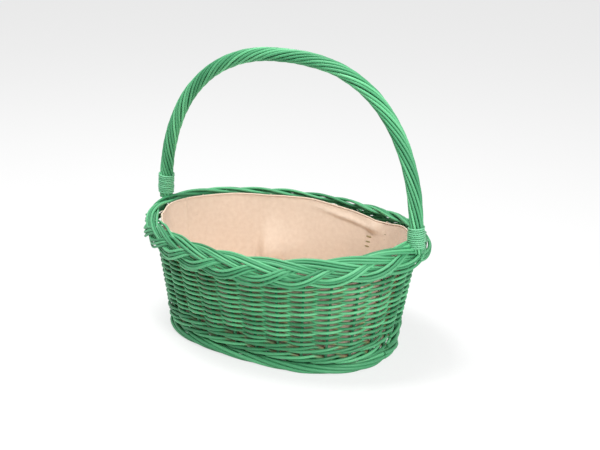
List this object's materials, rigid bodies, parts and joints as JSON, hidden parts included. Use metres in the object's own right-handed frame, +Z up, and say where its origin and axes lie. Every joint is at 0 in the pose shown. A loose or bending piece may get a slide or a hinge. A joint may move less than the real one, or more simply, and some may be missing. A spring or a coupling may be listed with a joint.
{
  "type": "lined willow basket with bow handle",
  "caption": "Oval woven willow basket with a fixed roped bow handle, a plaited border, a foot border and a sewn cloth lining.",
  "frame": {"origin": "centre of the overall box, on the surface that the basket stands on", "axes": "+X along the basket towards its higher end, +Y across it, +Z up; the bow stands in the XZ plane"},
  "size_m": [0.4068, 0.2958, 0.3776],
  "materials": {
    "base_willow": "matt green stain",
    "border_willow": "matt green stain on peeled willow",
    "binding_cane": "green stained split cane",
    "bow_willow": "matt green stain, rubbed along the crests",
    "lining_cloth": "plain woven undyed cotton",
    "tack_thread": "cotton thread",
    "stake_willow": "matt green stain on peeled willow",
    "woven_willow": "matt green stain on peeled willow, worn off on the recessed strokes"
  },
  "bodies": {
    "root": {"base_long_sticks": "base_willow", "base_short_sticks": "base_willow", "base_weave": "base_willow", "border_plait_strand_1": "border_willow", "border_plait_strand_2": "border_willow", "border_plait_strand_3": "border_willow", "foot_border_rod_1": "border_willow", "foot_border_rod_2": "border_willow", "foot_border_rod_3": "border_willow", "handle_binding_left": "binding_cane", "handle_binding_right": "binding_cane", "handle_core": "bow_willow", "handle_rope_rods": "bow_willow", "lining_floor": "lining_cloth", "lining_hem": "lining_cloth", "lining_tacks": "tack_thread", "lining_wall": "lining_cloth", "stakes_back": "stake_willow", "stakes_front": "stake_willow", "stakes_left": "stake_willow", "stakes_right": "stake_willow", "wale_1_rod_1": "woven_willow", "wale_1_rod_2": "woven_willow", "wale_1_rod_3": "woven_willow", "wale_2_rod_1": "woven_willow", "wale_2_rod_2": "woven_willow", "wale_2_rod_3": "woven_willow", "weaver_row_01": "woven_willow", "weaver_row_02": "woven_willow", "weaver_row_03": "woven_willow", "weaver_row_04": "woven_willow", "weaver_row_05": "woven_willow", "weaver_row_06": "woven_willow", "weaver_row_07": "woven_willow", "weaver_row_08": "woven_willow", "weaver_row_09": "woven_willow", "weaver_row_10": "woven_willow", "weaver_row_11": "woven_willow", "weaver_row_12": "woven_willow", "weaver_row_13": "woven_willow", "weaver_row_14": "woven_willow", "weaver_row_15": "woven_willow", "weaver_row_16": "woven_willow", "weaver_row_17": "woven_willow", "weaver_row_18": "woven_willow", "weaver_row_19": "woven_willow", "weaver_row_20": "woven_willow", "weaver_row_21": "woven_willow", "weaver_row_22": "woven_willow", "weaver_row_23": "woven_willow", "weaver_row_24": "woven_willow", "weaver_row_25": "woven_willow", "weaver_row_26": "woven_willow"}
  },
  "joints": []
}
